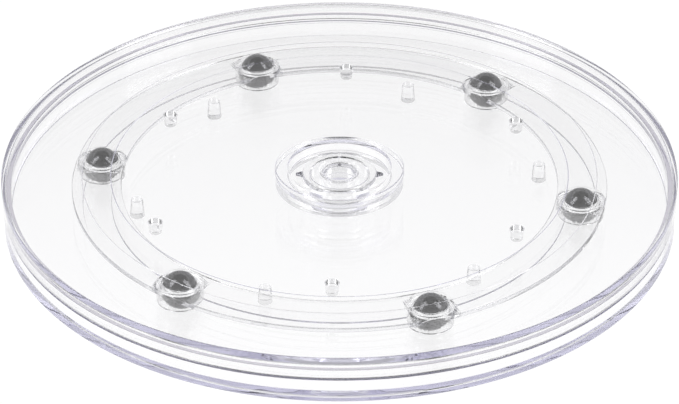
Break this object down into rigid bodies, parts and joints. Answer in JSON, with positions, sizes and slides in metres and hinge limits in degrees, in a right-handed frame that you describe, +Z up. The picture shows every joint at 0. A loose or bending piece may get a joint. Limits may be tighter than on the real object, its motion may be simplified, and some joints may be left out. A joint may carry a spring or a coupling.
{
  "type": "lazy susan turntable",
  "caption": "Flat round clear plastic turntable: a tray turns on steel balls in a floating cage over a matching base, held by a capped centre post.",
  "frame": {"origin": "centre of the underside, on the surface it stands on", "axes": "+Z up along the turning axis; +X and +Y in the plane of the base"},
  "size_m": [0.25, 0.25, 0.0188],
  "materials": {
    "clear_tray": "gloss",
    "clear_base": "gloss",
    "clear_cage": "gloss",
    "clear_cap": "gloss",
    "clear_plug": "gloss",
    "clear_pin": "gloss",
    "ball_steel": "polished"
  },
  "bodies": {
    "base": {"base_plate": "clear_base", "retaining_cap": "clear_cap", "snap_plug": "clear_plug", "base_pin_1": "clear_pin", "base_pin_2": "clear_pin", "base_pin_3": "clear_pin", "base_pin_4": "clear_pin", "base_pin_5": "clear_pin", "base_pin_6": "clear_pin"},
    "tray": {"top_tray": "clear_tray", "tray_pin_1": "clear_pin", "tray_pin_2": "clear_pin", "tray_pin_3": "clear_pin", "tray_pin_4": "clear_pin", "tray_pin_5": "clear_pin", "tray_pin_6": "clear_pin"},
    "cage": {"ball_cage": "clear_cage"},
    "ball_1": {"steel_ball_1": "ball_steel"},
    "ball_2": {"steel_ball_2": "ball_steel"},
    "ball_3": {"steel_ball_3": "ball_steel"},
    "ball_4": {"steel_ball_4": "ball_steel"},
    "ball_5": {"steel_ball_5": "ball_steel"},
    "ball_6": {"steel_ball_6": "ball_steel"}
  },
  "joints": [
    {"name": "tray_spin", "type": "hinge", "parent": "base", "child": "tray", "pos_m": [0, 0, 0.0145], "axis": [0, 0, 1], "continuous": true},
    {"name": "cage_spin", "type": "hinge", "parent": "base", "child": "cage", "pos_m": [0, 0, 0.00925], "axis": [0, 0, 1], "continuous": true},
    {"name": "ball_1_roll", "type": "hinge", "parent": "cage", "child": "ball_1", "pos_m": [0.08887, -0.01423, 0.00925], "axis": [0.9874, -0.1582, 0], "continuous": true},
    {"name": "ball_2_roll", "type": "hinge", "parent": "cage", "child": "ball_2", "pos_m": [0.05676, 0.06984, 0.00925], "axis": [0.6307, 0.776, 0], "continuous": true},
    {"name": "ball_3_roll", "type": "hinge", "parent": "cage", "child": "ball_3", "pos_m": [-0.03211, 0.08408, 0.00925], "axis": [-0.3567, 0.9342, 0], "continuous": true},
    {"name": "ball_4_roll", "type": "hinge", "parent": "cage", "child": "ball_4", "pos_m": [-0.08887, 0.01423, 0.00925], "axis": [-0.9874, 0.1582, 0], "continuous": true},
    {"name": "ball_5_roll", "type": "hinge", "parent": "cage", "child": "ball_5", "pos_m": [-0.05676, -0.06984, 0.00925], "axis": [-0.6307, -0.776, 0], "continuous": true},
    {"name": "ball_6_roll", "type": "hinge", "parent": "cage", "child": "ball_6", "pos_m": [0.03211, -0.08408, 0.00925], "axis": [0.3567, -0.9342, 0], "continuous": true}
  ],
  "couplings": [
    {"joint": "cage_spin", "follows": "tray_spin", "ratio": 0.5},
    {"joint": "ball_1_roll", "follows": "tray_spin", "ratio": -7.0866},
    {"joint": "ball_2_roll", "follows": "tray_spin", "ratio": -7.0866},
    {"joint": "ball_3_roll", "follows": "tray_spin", "ratio": -7.0866},
    {"joint": "ball_4_roll", "follows": "tray_spin", "ratio": -7.0866},
    {"joint": "ball_5_roll", "follows": "tray_spin", "ratio": -7.0866},
    {"joint": "ball_6_roll", "follows": "tray_spin", "ratio": -7.0866}
  ]
}
